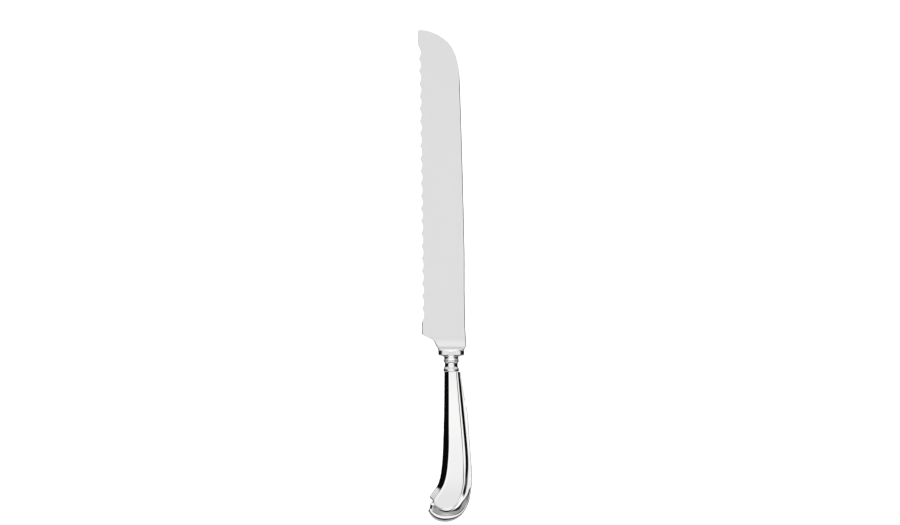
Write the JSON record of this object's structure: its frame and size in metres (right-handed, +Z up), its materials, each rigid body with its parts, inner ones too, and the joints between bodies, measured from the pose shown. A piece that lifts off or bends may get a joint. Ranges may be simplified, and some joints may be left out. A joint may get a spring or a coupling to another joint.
{
  "type": "bread knife",
  "caption": "Bread knife with a long scalloped steel blade, oval bolster, turned collar and a polished hollow pistol-grip handle with a moulded rim.",
  "frame": {"origin": "centre of the bounding box's lowest face, with the knife lying on its right side", "axes": "+Y from the butt to the tip, +Z up out of the left side of the blade, -X towards the edge"},
  "size_m": [0.039, 0.3544, 0.014],
  "materials": {
    "blade_steel": "fine satin polish along the blade, mirror-polished bolster",
    "polished_silver": "mirror polish",
    "solder": "as run, dull",
    "cement": "cast, matt"
  },
  "bodies": {
    "root": {"blade": "blade_steel", "collar": "polished_silver", "handle_shell_left": "polished_silver", "handle_shell_right": "polished_silver", "seam_solder": "solder", "handle_cement": "cement"}
  },
  "joints": []
}
